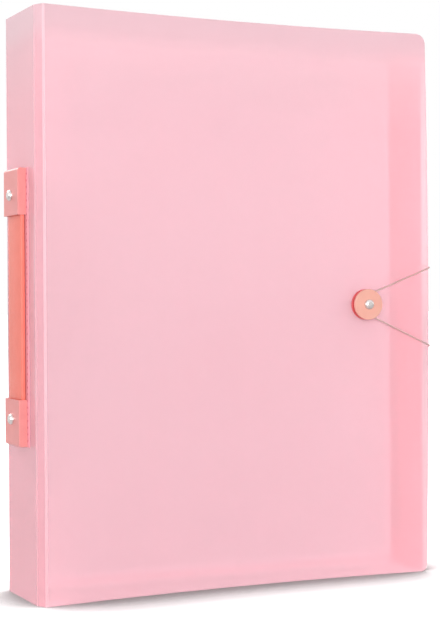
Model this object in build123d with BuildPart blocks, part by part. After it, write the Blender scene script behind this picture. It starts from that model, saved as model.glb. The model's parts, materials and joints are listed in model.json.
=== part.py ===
from build123d import *
from math import acos, asin, atan2, cos, degrees, hypot, sin, sqrt
import os

os.makedirs("parts", exist_ok=True)

# Display book, upright: a case of creased translucent sheet that holds clear pockets.
# Millimetres. +Z is up, the front cover faces -Y, the spine is at -X and the fore edge at +X.
# The origin is under the middle of the whole object, on the surface that it stands on.

# The case
case_height = 320.0
case_width = 242.0          # spine's outer face to the front cover's free edge
spine_depth = 57.8          # outer depth of the case at the spine
fore_depth = 41.0           # outer depth at the fore edge, so the case tapers
sheet = 1.0                 # thickness of every panel
fold_leg = 3.6              # reach of a rear fold strip along each of its two panels
front_leg = 3.5             # reach of the front fold strip along the front cover
front_depth = 6.1           # and along the spine
crease_width = 1.1          # scored band between two panels
crease_web = 0.4            # thickness that the score leaves
cover_dish = 7.0            # how far the front cover curves inward at its middle
free_edge_bow = 1.8         # how far its free edge bulges at mid height
free_corner_top = 6.0       # radius of the free edge's corners
free_corner_bottom = 4.0
cover_overhang = 2.0        # the front cover reaches past the fore-edge wall
wall_clearance = 0.3        # between the wall's free edge and the closed cover
wall_corner = 4.0

# The handle on the spine
handle_length = 150.8
handle_z = 159.1            # height of its middle
handle_set_back = 1.8       # its middle line, behind the middle of the spine
plate_thickness = 0.8
plate_margin = 2.2          # base plate past the caps, on each side
cap_length = 25.4
cap_width = 24.4
cap_height = 4.6            # above the base plate
cap_wall = 0.8
cap_end_wall = 2.0
cap_end_round = 1.6         # rounding of a cap's outer end
cap_edge_round = 0.5
strap_thickness = 2.1
strap_play = 0.45           # strap to base plate and to a cap's inner sides
strap_edge_round = 0.5
grip_length = 40.0          # middle stretch of the strap, which lifts straight out
strap_end_play = 1.2        # strap's end to a cap's end wall
slot_travel = 3.0           # how far the slots let the strap's ends draw towards the grip
slot_play = 0.4             # slot to the rivet in it

# Rivets, washers and eyelets
rivet_inset = 14.5          # a handle rivet to the handle's end
rivet_head = 6.0
rivet_head_height = 2.0
rivet_head_round = 1.7
rivet_shank = 3.2
rivet_play = 0.05           # radial, in the holes that a shank passes
clinch_width = 5.0
clinch_height = 0.7
washer_width = 9.0
washer_thickness = 0.6
eyelet_flange = 6.4
eyelet_barrel = 3.8
eyelet_bore = 2.4
eyelet_rim = 0.4            # height of the flange on each face of the sheet

# The button on the front cover
button_inset = 39.7         # button's centre to the free edge
button_z = 159.4
disc_width = 17.8
base_disc_thickness = 1.2
top_disc_thickness = 1.6
neck_width = 9.0
neck_height = 2.4
disc_edge_round = 0.4
button_seat = 0.1           # flat disc to the curved cover

# The elastic
cord = 0.8                  # diameter
cord_gap = 0.18             # cord to the sheet that it lies along or turns over
elastic_z = 157.9           # height midway between its two runs
edge_spread = 46.4          # between the two runs where they cross the free edge
fold_spread = 70.0          # between them at the back fold
anchor_spread = 82.0        # between the two anchors
anchor_inset = 26.0         # anchors to the fore-edge wall's outer face
loop_play = 0.05            # loop to the button's neck
loop_share = 0.04           # share of the run over the fore edge that moves with the loop
barb_length = 12.0
barb_width = 2.4
barb_thickness = 1.2

# The pockets
pocket_count = 10
pocket_end_gap = 7.0        # pockets to the case's upper and lower edges
pocket_fore_gap = 6.0       # pockets to the fore-edge wall
pocket_thickness = 0.5
pocket_pitch = 1.5
pocket_corner = 4.0
pocket_bead_gap = 0.3       # binding bar to the round bead that a pocket turns on
first_pocket_gap = 2.2      # back cover to the rearmost pocket
bar_start = 5.5             # binding bar to the spine's outer face
bar_width = 8.0
strip_width = 20.0          # mounting strip that carries the binding bar
strip_thickness = 0.8
bar_cap = 1.0               # binding bar past the first and last pocket


# Plan of the case. Points are (x, y) from the corner where the spine's outer face meets
# the front plane, with x towards the fore edge and y towards the back.
wall_x = case_width - cover_overhang
taper = atan2(spine_depth - fore_depth, wall_x)
cover_chord = case_width - front_leg
cover_radius = (cover_chord**2 / 4 + cover_dish**2) / (2 * cover_dish)
cover_middle = front_leg + cover_chord / 2


def cover_y(x, depth=0.0):
    """Depth of the front cover's outer face at x, or of the face that lies `depth` inside it."""
    across = x - cover_middle
    return cover_dish - cover_radius + sqrt((cover_radius + depth) ** 2 - across**2)


def back_point(along, depth):
    """A point of the back cover's plan: along it from the spine, and inside its outer face."""
    x = along * cos(taper) - depth * sin(taper)
    y = spine_depth - along * sin(taper) - depth * cos(taper)
    return (x, y)


def pair(spread):
    """Heights of the upper and the lower run of the elastic, where they are `spread` apart."""
    return (elastic_z + spread / 2, elastic_z - spread / 2)


# The handle is the widest thing at the spine, and the elastic at the free edge.
handle_reach = plate_thickness + cap_height + rivet_head_height
cord_off = cord / 2 + cord_gap
edge_x = case_width + free_edge_bow + cord_off
edge_y = cover_y(case_width + free_edge_bow) - cord_off
furthest_back = back_point(fold_leg + crease_width / 2, 0)[1]
shift_x = -(edge_x + cord / 2 - handle_reach) / 2
shift_y = -(edge_y - cord / 2 + furthest_back) / 2


def placed(point, z=0.0):
    """A plan point, from the case's corner to the object's own frame."""
    return (point[0] + shift_x, point[1] + shift_y, z)


# The middle line of the sheet turns at these points, from the front cover round to the wall.
half = sheet / 2
fold_front = (front_leg, half)
fold_spine = (half, front_depth)
back_spine = (half, spine_depth - fold_leg)
back_start = back_point(fold_leg, half)
back_end = back_point((wall_x - fold_leg) / cos(taper), half)
wall_start = (wall_x - half, fore_depth - fold_leg)
wall_inside = wall_x - sheet
wall_end = (wall_x - half, cover_y(wall_inside, sheet) + wall_clearance)


def direction(start, end):
    """Unit vector from one plan point to another, and the distance between them."""
    length = hypot(end[0] - start[0], end[1] - start[1])
    return ((end[0] - start[0]) / length, (end[1] - start[1]) / length, length)


def save(piece, name):
    """Names a finished piece and writes it."""
    piece.part.label = name
    export_step(piece.part, f"parts/{name}.step")
    return piece


def bar_between(start, end, thickness):
    """Draws the plan of a straight strip between two plan points."""
    ux, uy, length = direction(start, end)
    middle = placed(((start[0] + end[0]) / 2, (start[1] + end[1]) / 2))
    with Locations((middle[0], middle[1])):
        Rectangle(length, thickness, rotation=degrees(atan2(uy, ux)))


def stop_short(start, end, first, last):
    """The stretch between two plan points, cut back by `first` and `last`."""
    ux, uy, length = direction(start, end)
    return (
        (start[0] + ux * first, start[1] + uy * first),
        (end[0] - ux * last, end[1] - uy * last),
    )


def straight_panel(start, end, first, last):
    """A panel of the sheet, upright on the plan line between two of its folds."""
    with BuildPart() as panel:
        with BuildSketch():
            bar_between(*stop_short(start, end, first, last), sheet)
        extrude(amount=case_height)
    return panel


def scored_crease(before, fold, after):
    """The thin band that the score leaves at a fold, bent towards the two panels it joins."""
    with BuildPart() as crease:
        with BuildSketch():
            for neighbour in (before, after):
                ux, uy, _ = direction(fold, neighbour)
                reach = (fold[0] + ux * crease_width / 2, fold[1] + uy * crease_width / 2)
                bar_between(fold, reach, crease_web)
            x, y, _ = placed(fold)
            with Locations((x, y)):
                Circle(crease_web / 2)
        extrude(amount=case_height)
    return crease


# Planes on the case's outer faces. Local y is up and local z points away from the case.
handle_y = spine_depth / 2 + handle_set_back
spine_face = Plane(
    origin=placed((0, handle_y), handle_z), x_dir=(0, -1, 0), z_dir=(-1, 0, 0)
)
button_x = case_width - button_inset
lean = asin((button_x - cover_middle) / cover_radius)
button_face = Plane(
    origin=placed((button_x, cover_y(button_x)), button_z),
    x_dir=(cos(lean), -sin(lean), 0),
    z_dir=(-sin(lean), -cos(lean), 0),
)
outward = (sin(taper), cos(taper), 0)
anchor_along = (wall_x - anchor_inset) / cos(taper)
anchor_faces = [
    Plane(
        origin=placed(back_point(anchor_along, 0), z),
        x_dir=(-cos(taper), sin(taper), 0),
        z_dir=outward,
    )
    for z in pair(anchor_spread)
]
rivet_y = handle_length / 2 - rivet_inset
cap_y = handle_length / 2 - cap_length / 2
strap_width = cap_width - 2 * (cap_wall + strap_play)
strap_half = handle_length / 2 - cap_end_wall - strap_end_play


# Panels of the case
gap = crease_width / 2
with BuildPart() as front_cover:
    with BuildSketch():
        centre = placed((cover_middle, cover_dish - cover_radius))
        with Locations((centre[0], centre[1])):
            Circle(cover_radius + sheet)
            Circle(cover_radius, mode=Mode.SUBTRACT)
        first_x, front_y, _ = placed((front_leg + gap, 0))
        last_x = placed((case_width + free_edge_bow, 0))[0]
        with Locations(((first_x + last_x) / 2, front_y)):
            Rectangle(last_x - first_x, 4 * (cover_dish + sheet), mode=Mode.INTERSECT)
    extrude(amount=case_height)
    with BuildSketch(Plane.XZ) as outline:
        with BuildLine():
            edge_line_x = placed((case_width, 0))[0]
            Polyline(
                (edge_line_x, case_height),
                (first_x, case_height),
                (first_x, 0),
                (edge_line_x, 0),
            )
            ThreePointArc(
                (edge_line_x, 0), (last_x, case_height / 2), (edge_line_x, case_height)
            )
        make_face()
        low_corner = outline.vertices().sort_by_distance((edge_line_x, 0))[0]
        fillet(low_corner, free_corner_bottom)
        high_corner = outline.vertices().sort_by_distance((edge_line_x, case_height))[0]
        fillet(high_corner, free_corner_top)
    extrude(amount=2 * spine_depth, both=True, mode=Mode.INTERSECT)
    with BuildSketch(button_face):
        Circle(rivet_shank / 2 + rivet_play)
    extrude(amount=-3 * sheet, both=True, mode=Mode.SUBTRACT)
save(front_cover, "front_cover")

front_fold_strip = straight_panel(fold_front, fold_spine, gap, gap)
save(front_fold_strip, "front_fold_strip")

spine_blank = straight_panel(fold_spine, back_spine, gap, gap)
with BuildPart() as spine_panel:
    add(spine_blank.part)
    with BuildSketch(spine_face):
        with Locations((0, rivet_y), (0, -rivet_y)):
            Circle(rivet_shank / 2 + rivet_play)
    extrude(amount=-2 * sheet, mode=Mode.SUBTRACT)
save(spine_panel, "spine_panel")

back_fold_strip = straight_panel(back_spine, back_start, gap, gap)
save(back_fold_strip, "back_fold_strip")

back_blank = straight_panel(back_start, back_end, gap, gap)
with BuildPart() as back_cover:
    add(back_blank.part)
    for face in anchor_faces:
        with BuildSketch(face):
            Circle(eyelet_barrel / 2 + rivet_play)
        extrude(amount=-2 * sheet, both=True, mode=Mode.SUBTRACT)
save(back_cover, "back_cover")

fore_fold_strip = straight_panel(back_end, wall_start, gap, gap)
save(fore_fold_strip, "fore_fold_strip")

wall_blank = straight_panel(wall_start, wall_end, gap, 0)
with BuildPart() as fore_edge_wall:
    add(wall_blank.part)
    free_corners = fore_edge_wall.edges().filter_by(Axis.X).group_by(Axis.Y)[0]
    fillet(free_corners, wall_corner)
save(fore_edge_wall, "fore_edge_wall")

# Scored creases between the panels
cover_next = (front_leg + crease_width, half)
creases = {
    "crease_front_cover": (fold_spine, fold_front, cover_next),
    "crease_spine_front": (fold_front, fold_spine, back_spine),
    "crease_spine_back": (fold_spine, back_spine, back_start),
    "crease_back_cover": (back_spine, back_start, back_end),
    "crease_fore_fold": (back_start, back_end, wall_start),
    "crease_fore_wall": (back_end, wall_start, wall_end),
}
for name, (before, fold, after) in creases.items():
    save(scored_crease(before, fold, after), name)


def make_rivet(face, head_seat, clinch_seat):
    """A domed rivet: its head seats above the face, its clinched end below it."""
    out = Axis(face.origin, face.z_dir)
    with BuildPart() as rivet:
        with BuildSketch(face.offset(head_seat)):
            Circle(rivet_head / 2)
        extrude(amount=rivet_head_height)
        rim = rivet.edges().filter_by(GeomType.CIRCLE).sort_by(out)[-1]
        fillet(rim, rivet_head_round)
        with BuildSketch(face.offset(-clinch_seat)):
            Circle(rivet_shank / 2)
        extrude(amount=head_seat + clinch_seat)
        with BuildSketch(face.offset(-clinch_seat)):
            Circle(clinch_width / 2)
        extrude(amount=-clinch_height)
        foot = rivet.edges().filter_by(GeomType.CIRCLE).sort_by(out)[0]
        fillet(foot, clinch_height / 2)
    return rivet


def make_washer(face):
    """A washer against the sheet's inner face, round a rivet."""
    with BuildPart() as washer:
        with BuildSketch(face.offset(-sheet)):
            Circle(washer_width / 2)
            Circle(rivet_shank / 2 + rivet_play, mode=Mode.SUBTRACT)
        extrude(amount=-washer_thickness)
    return washer


# Handle. Local y of the spine's plane is up, so side is 1 for the upper end, -1 for the lower.
plate_top = spine_face.offset(plate_thickness)
with BuildPart() as handle_plate:
    with BuildSketch(spine_face):
        Rectangle(cap_width + 2 * plate_margin, handle_length)
        with Locations((0, rivet_y), (0, -rivet_y)):
            Circle(rivet_shank / 2 + rivet_play, mode=Mode.SUBTRACT)
    extrude(amount=plate_thickness)
save(handle_plate, "handle_plate")

with BuildPart() as strap_grip:
    with BuildSketch(plate_top.offset(strap_play)):
        Rectangle(strap_width, grip_length)
    extrude(amount=strap_thickness)
    long_edges = strap_grip.edges().filter_by(Axis.Z).group_by(Axis.X)[0]
    fillet(long_edges, strap_edge_round)
save(strap_grip, "strap_grip")

for side, place in ((1, "upper"), (-1, "lower")):
    rivet_face = Plane(
        origin=spine_face.from_local_coords((0, side * rivet_y, 0)),
        x_dir=spine_face.x_dir,
        z_dir=spine_face.z_dir,
    )
    with BuildPart() as strap_end:
        strap_middle = side * (grip_length / 2 + strap_half) / 2
        with BuildSketch(plate_top.offset(strap_play)):
            with Locations((0, strap_middle)):
                Rectangle(strap_width, strap_half - grip_length / 2)
            with Locations((0, side * (rivet_y + slot_travel / 2))):
                slot_width = rivet_shank + 2 * slot_play
                SlotOverall(slot_width + slot_travel, slot_width, 90, mode=Mode.SUBTRACT)
        extrude(amount=strap_thickness)
        long_edges = strap_end.edges().filter_by(Axis.Z).group_by(Axis.X)[0].sort_by(Axis.Y)
        fillet((long_edges[0], long_edges[-1]), strap_edge_round)
    save(strap_end, f"strap_{place}")

    with BuildPart() as handle_cap:
        with BuildSketch(plate_top):
            with Locations((0, side * cap_y)):
                Rectangle(cap_width, cap_length)
        extrude(amount=cap_height)
        outer = handle_cap.faces().sort_by(Axis.X)[0]
        far_edge = outer.edges().filter_by(Axis.Y).sort_by(Axis.Z)[-1 if side > 0 else 0]
        fillet(far_edge, cap_end_round)
        side_edges = handle_cap.edges().filter_by(Axis.Z).group_by(Axis.X)[0]
        fillet(side_edges, cap_edge_round)
        with BuildSketch(plate_top):
            with Locations((0, side * (cap_y - cap_end_wall / 2))):
                Rectangle(cap_width - 2 * cap_wall, cap_length - cap_end_wall)
        extrude(amount=cap_height - cap_wall, mode=Mode.SUBTRACT)
        with BuildSketch(rivet_face):
            Circle(rivet_shank / 2 + rivet_play)
        extrude(amount=plate_thickness + 2 * cap_height, mode=Mode.SUBTRACT)
    save(handle_cap, f"handle_cap_{place}")

    head_seat = plate_thickness + cap_height
    save(make_rivet(rivet_face, head_seat, sheet + washer_thickness), f"handle_rivet_{place}")
    save(make_washer(rivet_face), f"handle_washer_{place}")

# Button, stacked outward from the front cover
base_level = button_seat
neck_level = base_level + base_disc_thickness
top_level = neck_level + neck_height
button_out = Axis(button_face.origin, button_face.z_dir)
stack = (
    ("button_base_disc", disc_width, base_level, base_disc_thickness, disc_edge_round),
    ("button_neck", neck_width, neck_level, neck_height, 0),
    ("button_top_disc", disc_width, top_level, top_disc_thickness, disc_edge_round),
)
for name, width, level, thickness, edge_round in stack:
    with BuildPart() as button_piece:
        with BuildSketch(button_face.offset(level)):
            Circle(width / 2)
        extrude(amount=thickness)
        if edge_round:
            rim = button_piece.edges().filter_by(GeomType.CIRCLE).sort_by(button_out)[-1]
            fillet(rim, edge_round)
        with BuildSketch(button_face.offset(level)):
            Circle(rivet_shank / 2 + rivet_play)
        extrude(amount=thickness, mode=Mode.SUBTRACT)
    save(button_piece, name)

inner_seat = sheet + button_seat
button_back = button_face.offset(sheet - inner_seat)
head_seat = top_level + top_disc_thickness
button_rivet = make_rivet(button_face, head_seat, inner_seat + washer_thickness)
save(button_rivet, "button_rivet")
save(make_washer(button_back), "button_washer")

# Eyelets in the back cover, and the barbs that hold the cord's ends inside
for face, place in zip(anchor_faces, ("upper", "lower")):
    with BuildPart() as eyelet:
        with BuildSketch(face.offset(eyelet_rim)):
            Circle(eyelet_flange / 2)
        extrude(amount=-eyelet_rim)
        with BuildSketch(face):
            Circle(eyelet_barrel / 2)
        extrude(amount=-sheet)
        with BuildSketch(face.offset(-sheet)):
            Circle(eyelet_flange / 2)
        extrude(amount=-eyelet_rim)
        with BuildSketch(face.offset(eyelet_rim)):
            Circle(eyelet_bore / 2)
        extrude(amount=-sheet - 2 * eyelet_rim, mode=Mode.SUBTRACT)
    save(eyelet, f"eyelet_{place}")

    with BuildPart() as barb:
        with BuildSketch(face.offset(-sheet - eyelet_rim)):
            RectangleRounded(barb_length, barb_width, barb_width / 2 - 0.05, rotation=90)
        extrude(amount=-barb_thickness)
    save(barb, f"elastic_barb_{place}")

# Elastic cord. Its centre line lies `cord_off` away from the sheet, and further at an eyelet.
def outside_corner(before, corner, after, distance):
    """Corner of the line that runs `distance` outside the middle of two neighbouring panels."""
    ax, ay, _ = direction(before, corner)
    bx, by, _ = direction(corner, after)
    scale = distance / (1 + ax * bx + ay * by)
    return (corner[0] - (ay + by) * scale, corner[1] + (ax + bx) * scale)


def make_cord(points):
    """A length of the cord: straight runs with an arc at each turn."""
    with BuildPart() as run:
        with BuildLine() as path:
            FilletPolyline(*points, radius=cord_off)
        with BuildSketch(Plane(origin=path.line @ 0, z_dir=path.line % 0)):
            Circle(cord / 2)
        sweep(path=path.line)
    return run


def part_way(start, end, share):
    """The point that lies a share of the way from start to end."""
    return tuple(a + (b - a) * share for a, b in zip(start, end))


eyelet_inside = back_point(anchor_along, sheet + eyelet_rim)
eyelet_outside = back_point(anchor_along, -eyelet_rim - cord_off)
back_turn = outside_corner(back_start, back_end, wall_start, half + cord_off)
wall_turn = outside_corner(back_end, wall_start, wall_end, half + cord_off)
edge = (edge_x, edge_y)
edge_ends, loop_ends = [], []
for place, anchor_z, fold_z, edge_z in zip(
    ("upper", "lower"), pair(anchor_spread), pair(fold_spread), pair(edge_spread)
):
    turn_z = fold_z + (edge_z - fold_z) * direction(back_turn, wall_turn)[2] / fore_depth
    first_turn = placed(back_turn, fold_z)
    second_turn = placed(wall_turn, turn_z)
    over_edge = placed(edge, edge_z)
    shared = part_way(first_turn, second_turn, 0.5)
    loop_start = part_way(over_edge, second_turn, loop_share)
    from_eyelet = (placed(eyelet_inside, anchor_z), placed(eyelet_outside, anchor_z))
    save(make_cord((*from_eyelet, first_turn, shared)), f"elastic_back_{place}")
    save(make_cord((shared, second_turn, loop_start)), f"elastic_side_{place}")
    edge_ends.append(over_edge)
    loop_ends.append(loop_start)

# The loop round the button's neck lies in the plane of the neck's middle and the free edge.
neck_middle = neck_level + neck_height / 2
neck_centre = Vector(*placed((button_x, cover_y(button_x)), button_z))
neck_centre += button_face.z_dir * neck_middle
to_edge = Vector(*placed(edge, button_z)) - neck_centre
loop_plane = Plane(
    origin=neck_centre, x_dir=to_edge.normalized(), z_dir=to_edge.cross(Vector(0, 0, 1))
)
loop_radius = neck_width / 2 + cord / 2 + loop_play


def touch(rise):
    """Where a straight run touches the neck's circle, from `rise` up or down the free edge."""
    turn = atan2(abs(rise), to_edge.length) + acos(loop_radius / hypot(to_edge.length, rise))
    height = loop_radius * sin(turn)
    return loop_plane.from_local_coords(
        (loop_radius * cos(turn), height if rise > 0 else -height, 0)
    )


touch_upper, touch_lower = [touch(z - button_z) for z in pair(edge_spread)]
far_side = loop_plane.from_local_coords((-loop_radius, 0, 0))
with BuildPart() as elastic_loop:
    with BuildLine() as path:
        FilletPolyline(loop_ends[0], edge_ends[0], touch_upper, radius=cord_off)
        ThreePointArc(touch_upper, far_side, touch_lower)
        FilletPolyline(touch_lower, edge_ends[1], loop_ends[1], radius=cord_off)
    with BuildSketch(Plane(origin=path.line @ 0, z_dir=path.line % 0)):
        Circle(cord / 2)
    sweep(path=path.line)
save(elastic_loop, "elastic_loop")

# Pockets, bound at a bar that stands on a strip along the back cover
bar_along = bar_start / cos(taper)
stack_depth = sheet + first_pocket_gap + pocket_thickness + (pocket_count - 1) * pocket_pitch
pocket_height = case_height - 2 * pocket_end_gap
with BuildPart() as pocket_strip:
    with BuildSketch(Plane.XY.offset(pocket_end_gap)):
        depth = sheet + strip_thickness / 2
        bar_between(
            back_point(bar_along, depth),
            back_point(bar_along + strip_width, depth),
            strip_thickness,
        )
    extrude(amount=pocket_height)
save(pocket_strip, "pocket_strip")

with BuildPart() as pocket_binding:
    with BuildSketch(Plane.XY.offset(pocket_end_gap)):
        middle = bar_along + bar_width / 2
        bar_between(
            back_point(middle, sheet + strip_thickness),
            back_point(middle, stack_depth + bar_cap),
            bar_width,
        )
    extrude(amount=pocket_height)
    fillet(pocket_binding.edges().filter_by(Axis.Z).group_by(Axis.Y)[0], bar_cap / 2)
save(pocket_binding, "pocket_binding")

inward = (-sin(taper), -cos(taper), 0)
along = (cos(taper), -sin(taper), 0)
axis_along = bar_along + bar_width + pocket_bead_gap + pocket_thickness / 2
pocket_width = (wall_inside - pocket_fore_gap) / cos(taper) - axis_along
pocket_axes = []
for number in range(pocket_count):
    # Number 1 is the pocket nearest the front cover.
    rank = pocket_count - 1 - number
    depth = sheet + first_pocket_gap + pocket_thickness / 2 + rank * pocket_pitch
    pocket_axes.append(placed(back_point(axis_along, depth)))
    leaf = Plane(
        origin=placed(back_point(axis_along, depth), case_height / 2),
        x_dir=along,
        z_dir=inward,
    )
    with BuildPart() as pocket:
        with BuildSketch(leaf) as outline:
            with Locations((pocket_width / 2, 0)):
                Rectangle(pocket_width, pocket_height)
            fillet(outline.vertices().group_by(Axis.X)[-1], pocket_corner)
        extrude(amount=pocket_thickness / 2, both=True)
        with BuildSketch(Plane(origin=placed(back_point(axis_along, depth), pocket_end_gap))):
            Circle(pocket_thickness / 2)
        extrude(amount=pocket_height)
    save(pocket, f"pocket_{number + 1:02d}")


# Places that the joints turn about, and the space left for papers
def shown(label, point):
    print(f"{label}: {point[0]:.3f} {point[1]:.3f}")


shown("spine hinge", placed(back_spine))
shown("front fold hinge", placed(fold_spine))
shown("front cover hinge", placed(fold_front))
shown("fore-edge wall hinge", placed(wall_start))
shown("elastic loop hinge", placed(edge))
for number, point in enumerate(pocket_axes):
    shown(f"pocket {number + 1} hinge", point)
front_inside = placed((0, cover_dish + sheet))[1]
stack_front = placed(back_point(axis_along + pocket_width, stack_depth))[1]
print(f"space for papers in y: {front_inside:.2f} to {stack_front:.2f}")
print(f"binding bar's end in x: {placed(back_point(bar_along + bar_width, stack_depth))[0]:.2f}")
print(f"wall's inner face in x: {placed((wall_inside, 0))[0]:.2f}")
print(f"taper: {degrees(taper):.3f} degrees, lean at the button: {degrees(lean):.3f} degrees")
print(f"cord: bends of {cord_off:.2f} mm, and of {loop_radius:.2f} mm round the neck")
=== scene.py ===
import bpy
import json
from math import atan2, cos, pi, radians, sin
from mathutils import Euler, Matrix, Vector


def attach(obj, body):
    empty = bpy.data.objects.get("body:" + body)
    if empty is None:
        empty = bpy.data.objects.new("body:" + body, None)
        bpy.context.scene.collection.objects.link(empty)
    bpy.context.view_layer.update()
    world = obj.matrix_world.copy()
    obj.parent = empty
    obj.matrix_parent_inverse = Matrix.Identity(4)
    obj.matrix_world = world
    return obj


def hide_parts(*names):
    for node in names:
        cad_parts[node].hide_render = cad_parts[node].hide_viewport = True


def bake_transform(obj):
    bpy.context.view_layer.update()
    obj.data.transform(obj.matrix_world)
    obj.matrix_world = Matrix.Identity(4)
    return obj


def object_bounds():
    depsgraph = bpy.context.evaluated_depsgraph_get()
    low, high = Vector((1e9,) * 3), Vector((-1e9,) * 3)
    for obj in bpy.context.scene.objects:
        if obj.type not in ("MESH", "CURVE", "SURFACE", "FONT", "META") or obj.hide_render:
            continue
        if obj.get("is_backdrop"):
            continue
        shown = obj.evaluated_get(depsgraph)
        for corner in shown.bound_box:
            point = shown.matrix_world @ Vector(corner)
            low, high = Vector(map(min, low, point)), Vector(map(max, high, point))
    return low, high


# Display book, upright: a frosted pink case, its strap handle, and an elastic on a button.
# Metres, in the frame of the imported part. Colours are written as they look, 0 to 255.
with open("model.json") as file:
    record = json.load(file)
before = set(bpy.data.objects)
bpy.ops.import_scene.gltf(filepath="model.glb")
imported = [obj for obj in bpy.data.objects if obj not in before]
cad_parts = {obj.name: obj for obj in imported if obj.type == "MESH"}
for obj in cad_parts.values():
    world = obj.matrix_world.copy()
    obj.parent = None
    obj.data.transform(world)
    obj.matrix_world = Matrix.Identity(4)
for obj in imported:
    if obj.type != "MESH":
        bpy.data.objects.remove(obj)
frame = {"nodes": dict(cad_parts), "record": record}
cad_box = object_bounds()
nodes = frame["nodes"]
MM = 0.001
SAME = 1e-6                 # metres, within which two places are the same

# Plan of the case, from the corner of the spine and the front, as in the part's source
ORIGIN = Vector((-118.69, -28.158, 0))
CASE_HEIGHT = 320
SHEET = 1.0
CREASE = 1.1
PLAN = {
    "cover": (4.6, 0.5),
    "front fold": (3.5, 0.5),
    "spine front": (0.5, 6.1),
    "spine back": (0.5, 54.2),
    "back fold": (3.556, 57.05),
    "fore fold": (236.365, 40.753),
    "wall fold": (239.5, 37.4),
    "wall edge": (239.5, 1.655),
}
HANDLE = Vector((-118.69, 2.542, 159.1))    # on the spine's outer face, at the handle's middle


def at(x, y, z=0.0):
    """A point of the case's plan, in millimetres, as a place in the scene."""
    return (ORIGIN + Vector((x, y, z))) * MM


# Modelling by hand
def only(piece):
    """Leaves one piece selected and active."""
    bpy.ops.object.select_all(action="DESELECT")
    piece.select_set(True)
    bpy.context.view_layer.objects.active = piece


def fixed(piece):
    """Puts a piece's place, turn and scale into its mesh."""
    only(piece)
    bpy.ops.object.transform_apply(location=True, rotation=True, scale=True)
    return piece


def box(name, low, high):
    """A block between its lowest and highest corners."""
    bpy.ops.object.select_all(action="DESELECT")
    bpy.ops.mesh.primitive_cube_add(size=1, location=(low + high) / 2)
    piece = bpy.context.object
    piece.scale = high - low
    piece.name = name
    return fixed(piece)


def side_disc(name, centre, radius, thickness, sides):
    """A round disc whose flat faces look along X."""
    bpy.ops.object.select_all(action="DESELECT")
    bpy.ops.mesh.primitive_cylinder_add(
        vertices=sides, radius=radius, depth=thickness, location=centre,
        rotation=(0, radians(90), 0),
    )
    piece = bpy.context.object
    piece.name = name
    return fixed(piece)


def pick_nothing(kind):
    """Clears what is selected in the mesh, and sets what is selected next."""
    bpy.ops.object.mode_set(mode="EDIT")
    bpy.ops.mesh.select_mode(type=kind)
    bpy.ops.mesh.select_all(action="DESELECT")
    bpy.ops.object.mode_set(mode="OBJECT")


def pick(piece, vertex_test):
    """Selects the vertices that pass a test, and stays in edit mode."""
    pick_nothing("VERT")
    for vertex in piece.data.vertices:
        vertex.select = bool(vertex_test(vertex))
    bpy.ops.object.mode_set(mode="EDIT")


def pick_edges(piece, edge_test):
    """Selects the edges whose two ends pass a test, and stays in edit mode."""
    pick_nothing("EDGE")
    points = [vertex.co.copy() for vertex in piece.data.vertices]
    for edge in piece.data.edges:
        edge.select = bool(edge_test(*[points[i] for i in edge.vertices]))
    bpy.ops.object.mode_set(mode="EDIT")


def done():
    """Leaves edit mode."""
    bpy.ops.object.mode_set(mode="OBJECT")


def slice_across(piece, places, normal):
    """Cuts a mesh through at each place, and keeps both sides."""
    only(piece)
    for place in places:
        bpy.ops.object.mode_set(mode="EDIT")
        bpy.ops.mesh.select_all(action="SELECT")
        bpy.ops.mesh.bisect(plane_co=place, plane_no=normal)
        done()


def smooth(piece, angle=35):
    """Shades a piece smooth, apart from edges sharper than an angle."""
    only(piece)
    bpy.ops.object.shade_smooth_by_angle(angle=radians(angle))
    return piece


def rounded(piece, edge_test, width, steps):
    """Rounds the edges that pass a test."""
    only(piece)
    pick_edges(piece, edge_test)
    bpy.ops.mesh.bevel(offset=width, segments=steps, profile=0.5, affect="EDGES")
    done()


def finish_mesh(piece):
    """Merges doubles and points every face outwards."""
    only(piece)
    bpy.ops.object.mode_set(mode="EDIT")
    bpy.ops.mesh.select_all(action="SELECT")
    bpy.ops.mesh.remove_doubles(threshold=SAME)
    bpy.ops.mesh.normals_make_consistent(inside=False)
    done()
    return piece


def joined(pieces, name):
    """Makes one piece of several."""
    bpy.ops.object.select_all(action="DESELECT")
    for piece in pieces:
        piece.select_set(True)
    bpy.context.view_layer.objects.active = pieces[0]
    bpy.ops.object.join()
    pieces[0].name = name
    return pieces[0]


def cut_away(piece, cutter):
    """Cuts one piece's shape out of another, and removes the cutter."""
    only(piece)
    tool = piece.modifiers.new("cut", "BOOLEAN")
    tool.operation = "DIFFERENCE"
    tool.solver = "EXACT"
    tool.object = cutter
    bpy.ops.object.modifier_apply(modifier=tool.name)
    bpy.data.objects.remove(cutter)


def copies(model, shifts):
    """Copies of a small piece, one at each shift and each with its own mesh. The model goes."""
    made = []
    for shift in shifts:
        only(model)
        bpy.ops.object.duplicate()
        extra = bpy.context.object
        extra.location = shift
        made.append(fixed(extra))
    bpy.data.objects.remove(model)
    return made


def dressed(piece, material):
    """Gives a piece its material."""
    piece.data.materials.clear()
    piece.data.materials.append(material)


# Materials
def seen(red, green, blue):
    """A colour as it looks, 0 to 255, as the light values that a shader takes."""
    channels = [v / 255 for v in (red, green, blue)]
    channels = [v / 12.92 if v < 0.04045 else ((v + 0.055) / 1.055) ** 2.4 for v in channels]
    return (*channels, 1.0)


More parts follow.
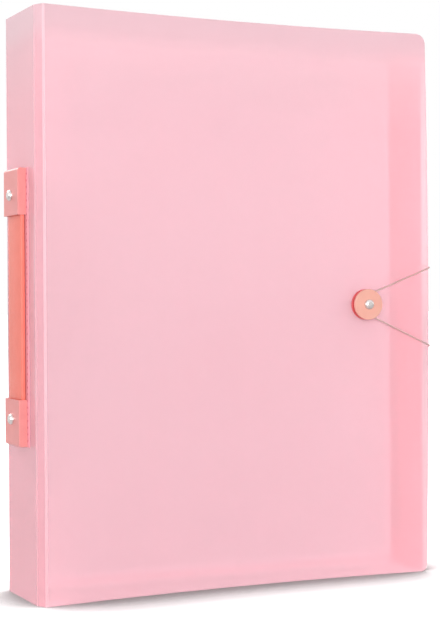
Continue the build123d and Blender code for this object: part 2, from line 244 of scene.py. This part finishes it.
class Wiring:
    """The nodes of one tree, and the links between them."""

    def __init__(self, tree):
        self.tree = tree

    def add(self, kind, settings=None, **inputs):
        """A new node, whose input sockets are named with _ for a space."""
        made = self.tree.nodes.new(kind)
        for key, value in (settings or {}).items():
            setattr(made, key, value)
        for key, value in inputs.items():
            self.feed(made.inputs[key.replace("_", " ")], value)
        return made

    def feed(self, socket, value):
        """Gives a socket a constant, or links it to another socket."""
        if isinstance(value, bpy.types.NodeSocket):
            self.tree.links.new(value, socket)
        else:
            socket.default_value = value

    def ranged(self, value, low, high, to_low, to_high, interpolation="LINEAR"):
        """A value between low and high, carried over to a range of its own."""
        made = self.add(
            "ShaderNodeMapRange", {"interpolation_type": interpolation}, Value=value,
            From_Min=low, From_Max=high, To_Min=to_low, To_Max=to_high,
        )
        return made.outputs[0]

    def maths(self, operation, *values):
        made = self.add("ShaderNodeMath", {"operation": operation})
        for socket, value in zip(made.inputs, values):
            self.feed(socket, value)
        return made.outputs[0]


class Finish(Wiring):
    """A material under construction: one shader, and the nodes that give it its detail."""

    def __init__(self, name, **constants):
        self.material = bpy.data.materials.new(name)
        self.material.use_nodes = True
        super().__init__(self.material.node_tree)
        self.shader = self.tree.nodes["Principled BSDF"]
        for socket, value in constants.items():
            self.shader.inputs[socket.replace("_", " ")].default_value = value
        self.place = self.add("ShaderNodeTexCoord").outputs["Object"]

    def to(self, socket, value):
        self.feed(self.shader.inputs[socket], value)

    def surface(self, shader_output):
        """Makes a shader the one that the material shows."""
        self.feed(self.tree.nodes["Material Output"].inputs["Surface"], shader_output)

    def noise(self, size, detail=2.0, stretch=(1, 1, 1)):
        """Cloudy pattern whose blotches are about `size` metres."""
        placed = self.add("ShaderNodeMapping", Vector=self.place, Scale=stretch).outputs[0]
        made = self.add("ShaderNodeTexNoise", Vector=placed, Scale=1 / size, Detail=detail)
        return made.outputs["Fac"]

    def spread(self, pattern, low, high):
        """The usual values of a cloudy pattern, spread over a range of their own."""
        return self.ranged(pattern, 0.3, 0.7, low, high)

    def mixed(self, share, first, second):
        """The first colour, with a share of the second."""
        made = self.add("ShaderNodeMix", {"data_type": "RGBA"}, Factor=share)
        # Inputs 6 and 7 are the node's two colours, and output 2 is their mix.
        self.feed(made.inputs[6], first)
        self.feed(made.inputs[7], second)
        return made.outputs[2]

    def bump(self, height, strength, distance, over=None):
        """Relief from a pattern, over another relief if one is given."""
        made = self.add("ShaderNodeBump", Height=height, Strength=strength, Distance=distance)
        if over is not None:
            self.feed(made.inputs["Normal"], over)
        return made.outputs[0]

    def let_lamps_through(self, tint):
        """Lamps light what is behind the sheet, as they do behind a real frosted one."""
        path = self.add("ShaderNodeLightPath")
        clear = self.add("ShaderNodeBsdfTransparent", Color=tint)
        mix = self.add("ShaderNodeMixShader", Fac=path.outputs["Is Shadow Ray"])
        self.feed(mix.inputs[1], self.shader.outputs[0])
        self.feed(mix.inputs[2], clear.outputs[0])
        self.surface(mix.outputs[0])

    def axes(self, vector):
        return self.add("ShaderNodeSeparateXYZ", Vector=vector).outputs


LIGHT_THROUGH = (250, 240, 243)     # what one face of the sheet lets through from a lamp
# Painted shade: the greyer, darker pink that the sheet's top band is drawn in
PAINTED_TOP_SHADE = (234, 198, 206)
# Painted highlight: the paler colour drawn on the sheet's cut edges, where light comes through
# the edge
CUT_EDGE_HIGHLIGHT = (236, 216, 220)
VEIL_FOOT = 256                     # heights in mm: the greyer band of painted shade at the top starts here,
RIM_FOOT = 298                      # its stronger rim here,
VEIL_HEAD = 312                     # and both are whole from here up
EDGE_VEIL = (119, 124)              # across the cover, in mm, at its free edge
STREAK_LENGTH = 50                  # rolled streaks, in times their width
UPRIGHT_FACE = (0.6, 0.9)           # how far a face looks up or down before it is a cut edge


def veiled_with_painted_top_shade(finish, shade, transmission, top_veil, edge_veil):
    """Paints shade into the sheet towards its top, as a greyer, darker pink, and makes it less
    clear there and at its free edge.
    """
    x, y, z = finish.axes(finish.place)
    near_top = finish.ranged(z, VEIL_FOOT * MM, VEIL_HEAD * MM, 0.0, 0.5, "SMOOTHSTEP")
    rim = finish.ranged(z, RIM_FOOT * MM, VEIL_HEAD * MM, 0.0, 0.5, "SMOOTHSTEP")
    start, end = (place * MM for place in EDGE_VEIL)
    near_edge = finish.ranged(x, start, end, 0.0, edge_veil, "SMOOTHSTEP")
    upper = finish.maths("ADD", near_top, rim)
    veil = finish.maths("MAXIMUM", finish.maths("MULTIPLY", upper, top_veil), near_edge)
    finish.to("Transmission Weight", finish.ranged(veil, 0.0, 1.0, transmission, 0.0))
    # Painted shade: the top band's colour is mixed towards a greyer, darker pink.
    return finish.mixed(upper, shade, seen(*PAINTED_TOP_SHADE))


def frosted_sheet(name, colour, pale, transmission, roughness, top_veil=0.0, edge_veil=0.0):
    """Translucent sheet with a fine matt grain, faint rolled streaks, a painted highlight on its
    cut edges and painted shade towards its top.

    A veil is how much less clear the sheet is towards its top, and towards its free edge.
    """
    finish = Finish(name, Transmission_Weight=transmission, IOR=1.49, Specular_IOR_Level=0.5)
    cloud = finish.noise(90 * MM, 3)
    streak = finish.noise(4 * MM, 2, (1, 1, 1 / STREAK_LENGTH))
    shade = finish.mixed(finish.spread(cloud, 0.0, 0.35), seen(*colour), seen(*pale))
    shade = finish.mixed(finish.ranged(streak, 0.35, 0.65, 0.0, 0.10), shade, seen(*pale))
    if top_veil or edge_veil:
        shade = veiled_with_painted_top_shade(finish, shade, transmission, top_veil, edge_veil)
    # Painted highlight: faces that look up or down, the sheet's cut edges, are drawn paler.
    upright = finish.axes(finish.add("ShaderNodeTexCoord").outputs["Normal"])[2]
    cut = finish.ranged(finish.maths("ABSOLUTE", upright), *UPRIGHT_FACE, 0.0, 1.0)
    finish.to("Base Color", finish.mixed(cut, shade, seen(*CUT_EDGE_HIGHLIGHT)))
    gloss = finish.noise(2.2 * MM, 1)
    finish.to("Roughness", finish.spread(gloss, roughness - 0.03, roughness + 0.04))
    grain = finish.noise(0.45 * MM)
    streaks = finish.bump(streak, 0.05, 0.1 * MM)
    finish.to("Normal", finish.bump(grain, 0.06, 0.05 * MM, over=streaks))
    finish.let_lamps_through(seen(*LIGHT_THROUGH))
    return finish.material


def moulded(name, colour, deeper, roughness):
    """Smooth moulded or extruded plastic, with slight mottling and a faint grain."""
    finish = Finish(name, IOR=1.47, Coat_Weight=0.15, Coat_Roughness=0.32)
    mottle = finish.noise(6 * MM, 3)
    grain = finish.noise(0.9 * MM)
    finish.to("Base Color", finish.mixed(
        finish.spread(mottle, 0.0, 0.6), seen(*colour), seen(*deeper)
    ))
    finish.to("Roughness", finish.spread(grain, roughness - 0.05, roughness + 0.06))
    finish.to("Normal", finish.bump(grain, 0.06, 0.05 * MM))
    return finish.material


def plated(name):
    """Bright nickel plating with turning marks and a little tarnish."""
    finish = Finish(name, Metallic=1.0)
    marks = finish.noise(0.6 * MM, 3)
    tarnish = finish.noise(2 * MM)
    finish.to("Base Color", finish.mixed(
        finish.ranged(tarnish, 0.4, 0.7, 0.0, 0.5), seen(232, 226, 224), seen(196, 188, 188)
    ))
    finish.to("Roughness", finish.spread(marks, 0.16, 0.3))
    finish.to("Normal", finish.bump(marks, 0.15, 0.04 * MM))
    return finish.material


BRAID_STRANDS = 8           # that run each way round the elastic


def braided(name, colour, dark):
    """Round braided elastic: its pattern follows the cord through the mesh's own UV map."""
    finish = Finish(name, Roughness=0.75, Sheen_Weight=0.3, Sheen_Roughness=0.5)
    along, around, _ = finish.axes(finish.add("ShaderNodeUVMap", {"uv_map": "UVMap"}).outputs[0])
    strands = []
    for way in (1, -1):
        turned = finish.maths("MULTIPLY", around, float(BRAID_STRANDS * way))
        phase = finish.maths("ADD", turned, along)
        strands.append(finish.maths("SINE", finish.maths("MULTIPLY", phase, 2 * pi)))
    weave = finish.ranged(finish.maths("MULTIPLY", *strands), -1.0, 1.0, 0.0, 1.0)
    finish.to("Base Color", finish.mixed(weave, seen(*dark), seen(*colour)))
    finish.to("Normal", finish.bump(weave, 0.5, 0.08 * MM))
    return finish.material


FILM_CLEAREST, FILM_DENSEST = 0.30, 0.75    # square on, and edge on
FILM_SEAM = (9.5, 10.5)     # heights in mm between which the bottom seam ends
SEAM_DENSITY = 0.15


def pocket_film(name):
    """Clear film with an embossed matt grain, and a bottom seam that shows a little whiter."""
    finish = Finish(name, IOR=1.5, Specular_IOR_Level=0.6)
    start, end = (height * MM for height in FILM_SEAM)
    seam = finish.ranged(finish.axes(finish.place)[2], start, end, 1.0, 0.0)
    facing = finish.add("ShaderNodeLayerWeight", Blend=0.35).outputs["Facing"]
    density = finish.ranged(facing, 0.0, 1.0, FILM_CLEAREST, FILM_DENSEST)
    density = finish.maths("ADD", density, finish.maths("MULTIPLY", seam, SEAM_DENSITY))
    finish.to("Alpha", density)
    cloud = finish.noise(30 * MM)
    finish.to("Base Color", finish.mixed(cloud, seen(254, 252, 253), seen(246, 247, 251)))
    grain = finish.noise(1.2 * MM)
    finish.to("Roughness", finish.spread(grain, 0.12, 0.26))
    finish.to("Normal", finish.bump(grain, 0.3, 0.05 * MM))
    return finish.material


case_sheet = frosted_sheet(
    "frosted pink sheet", (252, 217, 224), (253, 222, 229),
    transmission=0.5, roughness=0.2, top_veil=0.85,
)
cover_sheet = frosted_sheet(
    "frosted cover sheet", (252, 217, 224), (253, 222, 229),
    transmission=0.62, roughness=0.18, top_veil=0.75, edge_veil=0.1,
)
# Painted shade: the case's own sheet, drawn darker for the spine and the front fold strip, which
# are less lit than the front
shaded_spine_sheet = frosted_sheet(
    "shaded frosted spine sheet", (242, 193, 202), (245, 200, 209),
    transmission=0.45, roughness=0.2, top_veil=0.6,
)
wall_sheet = frosted_sheet(
    "frosted wall sheet", (251, 146, 160), (252, 156, 169), transmission=0.1, roughness=0.21
)
crease_sheet = frosted_sheet(
    "pressed crease", (244, 197, 206), (246, 204, 213),
    transmission=0.2, roughness=0.33, top_veil=0.6,
)
cap_plastic = moulded("coral cap", (235, 147, 144), (229, 139, 137), 0.36)
strap_plastic = moulded("orange coral strap", (247, 124, 106), (241, 115, 98), 0.36)
plate_plastic = moulded("rose base plate", (242, 166, 177), (237, 155, 167), 0.38)
weld_mark = moulded("weld mark", (226, 122, 136), (214, 106, 122), 0.42)
disc_plastic = moulded("peach disc", (243, 179, 162), (240, 170, 153), 0.36)
disc_under = moulded("coral disc", (236, 96, 98), (226, 84, 90), 0.36)
binding_plastic = moulded("pale binding", (250, 214, 220), (246, 204, 212), 0.45)
nickel = plated("nickel plate")
elastic_braid = braided("dusky elastic", (226, 196, 190), (190, 160, 156))
film = pocket_film("pocket film")

finishes = {
    "case_sheet": case_sheet,
    "fore_edge_sheet": wall_sheet,
    "crease": crease_sheet,
    "handle_body": cap_plastic,
    "handle_strap": strap_plastic,
    "button_disc": disc_plastic,
    "rivet_metal": nickel,
    "elastic": elastic_braid,
    "binding": binding_plastic,
    "clear_film": film,
}
for part in frame["record"]["subparts"]:
    node = nodes[part["node"]]
    node.data.materials.clear()
    node.data.materials.append(finishes[part["material_slot"]])
nodes["front_cover"].data.materials[0] = cover_sheet
# Painted shade: the spine and the front fold strip get the darker copy of the case sheet.
for name in ("spine_panel", "front_fold_strip"):
    nodes[name].data.materials[0] = shaded_spine_sheet
nodes["handle_plate"].data.materials[0] = plate_plastic
for name in ("button_base_disc", "button_neck"):
    nodes[name].data.materials[0] = disc_under

# Creases between the panels, in millimetres
CREASE_STEPS = 8
CREASE_THINNING = 0.38      # how much of the sheet's thickness the score takes
CREASE_GAP = 0.01           # between the crease and a panel
ON_STATION = 0.01           # within which a vertex is on a bend


def crease(node, before, fold, after, bodies):
    """The scored band between two panels, bent in even steps from one to the other."""
    before, fold, after = (Vector(PLAN[place]) for place in (before, fold, after))
    into, out = (fold - before).normalized(), (after - fold).normalized()
    turn = atan2(into.x * out.y - into.y * out.x, into.dot(out))
    bend = turn / (CREASE_STEPS - 1)
    # How steep each step on one side of the middle is, from the middle outwards
    slopes = [(k + 0.5) * bend for k in range(CREASE_STEPS // 2)]
    reach = CREASE / 2 - CREASE_GAP
    step = reach * cos(turn / 2) / sum(cos(slope) for slope in slopes)
    rise = step * sum(sin(slope) for slope in slopes) - reach * sin(turn / 2)
    half_length = step * CREASE_STEPS / 2
    piece = box(
        node + "_bend",
        Vector((-half_length, -SHEET / 2, 0)) * MM,
        Vector((half_length, SHEET / 2, CASE_HEIGHT)) * MM,
    )
    stations = [(k - CREASE_STEPS / 2 + 1) * step for k in range(CREASE_STEPS - 1)]
    slice_across(piece, [(station * MM, 0, 0) for station in stations], (1, 0, 0))
    flat = [vertex.co.x / MM for vertex in piece.data.vertices]
    for station in stations:
        thinner = 1 - CREASE_THINNING * cos(station / half_length * pi / 2) ** 2
        pick(piece, lambda v: abs(flat[v.index] - station) < ON_STATION)
        bpy.ops.transform.resize(value=(1, thinner, 1), center_override=(0, 0, 0))
        done()
    for side in (1, -1):
        outwards = [s for s in stations if s * side > -ON_STATION]
        for station in sorted(outwards, key=lambda s: -s * side):
            share = bend / 2 if abs(station) < ON_STATION else bend
            pick(piece, lambda v: (flat[v.index] - station) * side > ON_STATION)
            # A positive value here turns clockwise, as seen from above.
            bpy.ops.transform.rotate(
                value=-share * side, orient_axis="Z", center_override=(station * MM, 0, 0)
            )
            done()
    facing = atan2((into + out).y, (into + out).x)
    piece.rotation_euler.z = facing
    piece.location = at(fold.x + rise * sin(facing), fold.y - rise * cos(facing))
    fixed(piece)
    smooth(finish_mesh(piece), 50)
    dressed(piece, crease_sheet)
    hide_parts(node)
    if len(bodies) == 1:
        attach(piece, bodies[0])
    else:
        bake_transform(piece)


for node, before, fold, after, bodies in (
    ("crease_front_cover", "spine front", "front fold", "cover", ("front_fold", "front")),
    ("crease_spine_front", "front fold", "spine front", "spine back", ("front_fold", "spine")),
    ("crease_spine_back", "spine front", "spine back", "back fold", ("spine", "back")),
    ("crease_back_cover", "spine back", "back fold", "fore fold", ("back",)),
    ("crease_fore_fold", "back fold", "fore fold", "wall fold", ("back",)),
    ("crease_fore_wall", "fore fold", "wall fold", "wall edge", ("back", "fore_wall")),
):
    crease(node, before, fold, after, bodies)

# Handle, in millimetres: lengths along it count from its middle
STRAP_HALF_WIDTH = 10.95
STRAP_INNER = 1.25          # from the spine's face
STRAP_THICKNESS = 2.1
STRAP_ROUND = 0.5
STRAP_HALF = 72.2
GRIP_HALF = 20
GRIP_SLICES = (-10, 0, 10)
END_SLICES = 13             # cuts across each end, where the real strap bends as the grip lifts
END_SLICE = 2.5
RIVET_UP = 60.9
SLOT_WIDTH = 4.0
SLOT_LENGTH = 7.0
SLOT_SHIFT = 1.5            # the slot's middle lies this much past the rivet
SLOT_FLAT = 0.02            # short of a full round at the slot's ends
SLOT_CUTTER_REACH = 4       # each way, so that it goes right through the strap


def strap_piece(name, low, high, slices):
    """A length of the strap, with its long outer edges rounded."""
    x0, x1 = HANDLE.x - STRAP_INNER - STRAP_THICKNESS, HANDLE.x - STRAP_INNER
    y0, y1 = HANDLE.y - STRAP_HALF_WIDTH, HANDLE.y + STRAP_HALF_WIDTH
    z0, z1 = HANDLE.z + low, HANDLE.z + high
    piece = box(name, Vector((x0, y0, z0)) * MM, Vector((x1, y1, z1)) * MM)

    def outer_long(a, b):
        return abs(a.x - b.x) < SAME and abs(a.y - b.y) < SAME and a.x < (x0 + x1) / 2 * MM

    rounded(piece, outer_long, STRAP_ROUND * MM, 4)
    slice_across(piece, [(0, 0, (HANDLE.z + z) * MM) for z in slices], (0, 0, 1))
    return piece


def strap_end(place, side):
    """One end of the strap, from the grip to under its cap, slotted round the rivet."""
    slices = [side * (GRIP_HALF + END_SLICE * k) for k in range(1, END_SLICES + 1)]
    low, high = sorted((side * GRIP_HALF, side * STRAP_HALF))
    piece = strap_piece(f"strap_end_{place}", low, high, slices)
    middle = HANDLE + Vector((-STRAP_INNER, 0, side * (RIVET_UP + SLOT_SHIFT)))
    reach = Vector((SLOT_CUTTER_REACH, SLOT_WIDTH / 2, SLOT_LENGTH / 2))
    cutter = box("slot_cutter", (middle - reach) * MM, (middle + reach) * MM)

    def through(a, b):
        return abs(a.y - b.y) < SAME and abs(a.z - b.z) < SAME

    rounded(cutter, through, (SLOT_WIDTH / 2 - SLOT_FLAT) * MM, 8)
    cut_away(piece, cutter)
    smooth(finish_mesh(piece))
    dressed(piece, strap_plastic)
    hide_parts(f"strap_{place}")
    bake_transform(piece)


strap_end("upper", 1)
strap_end("lower", -1)
grip = strap_piece("strap_middle", -GRIP_HALF, GRIP_HALF, GRIP_SLICES)
smooth(finish_mesh(grip))
dressed(grip, strap_plastic)
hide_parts("strap_grip")
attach(grip, "grip")

PLATE_FACE = 0.8            # from the spine's face
WELD_PITCH = 3.6
WELD_ROW = 13.35            # from the plate's middle line
WELDS_EACH_WAY = 20         # in a row, above its middle mark and below it
WELD_RADIUS = 0.62
WELD_PROUD = 0.14           # of the plate's face
WELD_SUNK = 0.1
WELD_ROUND = 0.1


def weld_marks():
    """Rows of small ultrasonic weld marks along both margins of the base plate."""
    face = HANDLE.x - PLATE_FACE
    centre = Vector((face + (WELD_SUNK - WELD_PROUD) / 2, HANDLE.y, HANDLE.z))
    model = side_disc(
        "plate_weld_marks", centre * MM, WELD_RADIUS * MM, (WELD_PROUD + WELD_SUNK) * MM, 12
    )
    rounded(model, lambda a, b: max(a.x, b.x) < face * MM, WELD_ROUND * MM, 2)
    shifts = [
        Vector((0, row, step * WELD_PITCH)) * MM
        for row in (-WELD_ROW, WELD_ROW)
        for step in range(-WELDS_EACH_WAY, WELDS_EACH_WAY + 1)
    ]
    piece = joined(copies(model, shifts), "plate_weld_marks")
    smooth(piece)
    dressed(piece, weld_mark)
    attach(piece, "spine")


weld_marks()

# Elastic, in millimetres
CORD = 0.8
ELASTIC_MIDDLE = 157.9      # the lower runs mirror the upper ones about this height
NECK = Vector((83.415, -26.76, 159.4))
NECK_ALONG = Vector((0.99866, -0.05178, 0.0))   # across the neck, along the leaning cover
NECK_POINTS = 8
LOOP_RADIUS = 4.95
# The upper route, out of its eyelet and over the fore edge, each length with its own points
BACK_RUN = (
    (95.21, 13.27, 198.9), (95.38, 15.64, 198.9), (97.7, 15.44, 198.3),
    (115.5, 13.87, 193.6), (118.17, 13.64, 192.9), (120.03, 11.66, 192.12),
)
SIDE_RUN = (
    (120.03, 11.66, 192.12), (121.89, 9.67, 191.33),
    (122.15, 7.07, 190.64), (125.54, -27.41, 181.51),
)
EDGE_TURN = ((125.54, -27.41, 181.51), (125.74, -29.0, 181.08), (124.2, -28.87, 180.52))
TOUCH = {"upper": (81.63, -26.667, 164.016), "lower": (81.368, -26.654, 154.894)}


def mirrored(points):
    return [(x, y, 2 * ELASTIC_MIDDLE - z) for x, y, z in points]


def elastic_run(name, points):
    """A length of the round elastic along a smooth line, as a mesh with its own UV map."""
    data = bpy.data.curves.new(name, "CURVE")
    data.dimensions = "3D"
    spline = data.splines.new("NURBS")
    spline.points.add(len(points) - 1)
    for control, point in zip(spline.points, points):
        control.co = (*(Vector(point) * MM), 1)
    spline.order_u = 3
    spline.use_endpoint_u = True
    spline.resolution_u = 6
    data.bevel_depth = CORD / 2 * MM
    data.bevel_resolution = 3
    data.use_fill_caps = True
    piece = bpy.data.objects.new(name, data)
    bpy.context.scene.collection.objects.link(piece)
    only(piece)
    bpy.ops.object.convert(target="MESH")
    return smooth(finish_mesh(bpy.context.object), 60)


def round_the_neck(first, last):
    """Control points that go round the button's neck, from one touching point to the other."""
    up = Vector((0, 0, 1))
    ends = [Vector(point) - NECK for point in (first, last)]
    begin, end = (atan2(v.dot(up), v.dot(NECK_ALONG)) for v in ends)
    sweep = end + 2 * pi - begin
    reach = LOOP_RADIUS / cos(sweep / NECK_POINTS / 2)
    turns = [begin + (k + 0.5) * sweep / NECK_POINTS for k in range(NECK_POINTS)]
    return [NECK + (NECK_ALONG * cos(t) + up * sin(t)) * reach for t in turns]


def elastic_length(name, points, node, *bodies, start=None, end=None):
    """One length of elastic, on one body, or fixed where it stands when it spans two bodies."""
    piece = elastic_run(name, points)
    dressed(piece, elastic_braid)
    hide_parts(node)
    if len(bodies) == 1:
        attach(piece, bodies[0])
    else:
        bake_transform(piece)


for place, as_placed in (("upper", list), ("lower", mirrored)):
    back_run, side_run = as_placed(BACK_RUN), as_placed(SIDE_RUN)
    elastic_length(f"elastic_back_run_{place}", back_run, f"elastic_back_{place}", "back")
    elastic_length(
        f"elastic_side_run_{place}", side_run, f"elastic_side_{place}", "back", "fore_wall",
        start=side_run[0], end=side_run[2],
    )
elastic_length(
    "elastic_button_loop",
    [
        *EDGE_TURN, TOUCH["upper"], *round_the_neck(TOUCH["upper"], TOUCH["lower"]),
        TOUCH["lower"], *mirrored(EDGE_TURN)[::-1],
    ],
    "elastic_loop", "loop",
)

# Camera, at the photograph's viewing angle
CAMERA_PLACE = (-263.98, -773.01, 163.15)       # in the plan of the case
BELOW_LEVEL, TO_THE_RIGHT, TILT = 0.436, 25.577, 0.316     # degrees
LENS = 89.01
camera_data = bpy.data.cameras.new("camera")
camera = bpy.data.objects.new("camera", camera_data)
bpy.context.scene.collection.objects.link(camera)
aim = Euler((radians(90 - BELOW_LEVEL), 0, radians(-TO_THE_RIGHT))).to_matrix()
aim = aim @ Matrix.Rotation(radians(-TILT), 3, "Z")
camera.matrix_world = Matrix.Translation(at(*CAMERA_PLACE)) @ aim.to_4x4()
camera_data.lens = LENS
camera_data.clip_start = 0.01
bpy.context.scene.camera = camera

# Studio
WORLD_LIGHT = 0.3
LAMP_SIZE = 1.6
LAMP_TARGET = Vector((0, 0, 0.15))
FLOOR_SIZE = 30
FLOOR_SHADE = 0.9
FLOOR_SHADOW = 0.42         # the floor's shade where the case stands on it
SHADOW_REACH = 0.07         # metres from the case
SHADOW_OPENNESS = (0.55, 0.95)      # where the shadow is deepest, and where it ends


def studio_world():
    """White as it is seen, mirrored or looked at through the sheet, and else a soft fill."""
    world = bpy.data.worlds.new("studio")
    bpy.context.scene.world = world
    world.use_nodes = True
    wiring = Wiring(world.node_tree)
    background = wiring.tree.nodes["Background"]
    background.inputs["Color"].default_value = (1, 1, 1, 1)
    path = wiring.add("ShaderNodeLightPath").outputs
    shown = wiring.maths("MAXIMUM", path["Is Camera Ray"], path["Is Glossy Ray"])
    shown = wiring.maths("MAXIMUM", shown, path["Is Transmission Ray"])
    level = wiring.ranged(shown, 0.0, 1.0, WORLD_LIGHT, 1.0)
    wiring.feed(background.inputs["Strength"], level)


def soft_light(name, place, power):
    """A round lamp, turned to the middle of the case."""
    data = bpy.data.lights.new(name, "AREA")
    data.shape = "DISK"
    data.size = LAMP_SIZE
    data.energy = power
    lamp = bpy.data.objects.new(name, data)
    bpy.context.scene.collection.objects.link(lamp)
    turn = (LAMP_TARGET - Vector(place)).to_track_quat("-Z", "Y")
    lamp.matrix_world = Matrix.Translation(place) @ turn.to_matrix().to_4x4()


def white_floor():
    """A white floor with a soft shadow close to the case."""
    bpy.ops.object.select_all(action="DESELECT")
    bpy.ops.mesh.primitive_plane_add(size=FLOOR_SIZE)
    floor = bpy.context.object
    floor.name = "floor"
    finish = Finish("white floor", Roughness=0.9, Specular_IOR_Level=0.0)
    contact = finish.add("ShaderNodeAmbientOcclusion", {"samples": 8}, Distance=SHADOW_REACH)
    openness = contact.outputs["AO"]
    on_camera = finish.add("ShaderNodeLightPath").outputs["Is Camera Ray"]
    glow = finish.ranged(openness, *SHADOW_OPENNESS, 0.0, 1.0)
    glow = finish.add("ShaderNodeEmission", Strength=finish.maths("MULTIPLY", on_camera, glow))
    # The floor throws its full light back on the case, and only looks darker under it.
    darkest = finish.maths("MULTIPLY_ADD", on_camera, FLOOR_SHADOW - FLOOR_SHADE, FLOOR_SHADE)
    finish.to("Base Color", finish.ranged(openness, *SHADOW_OPENNESS, darkest, FLOOR_SHADE))
    both = finish.add("ShaderNodeAddShader")
    finish.feed(both.inputs[0], finish.shader.outputs[0])
    finish.feed(both.inputs[1], glow.outputs[0])
    finish.surface(both.outputs[0])
    floor.data.materials.append(finish.material)
    floor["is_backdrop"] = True


studio_world()
for name, place, power in (
    ("key", (-0.7, -2.15, 0.4), 39),
    ("spine fill", (-2.3, -0.4, 0.5), 12),
    ("back fill", (-0.7, 2.3, 1.8), 42),
    ("fore edge fill", (2.3, 0.7, 0.7), 18),
):
    soft_light(name, place, power)
white_floor()
bpy.context.scene.view_settings.view_transform = "Standard"

visual_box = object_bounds()
sizes = {"cad": cad_box, "visual": visual_box}
sizes = {key: [[float(v) for v in corner] for corner in value] for key, value in sizes.items()}
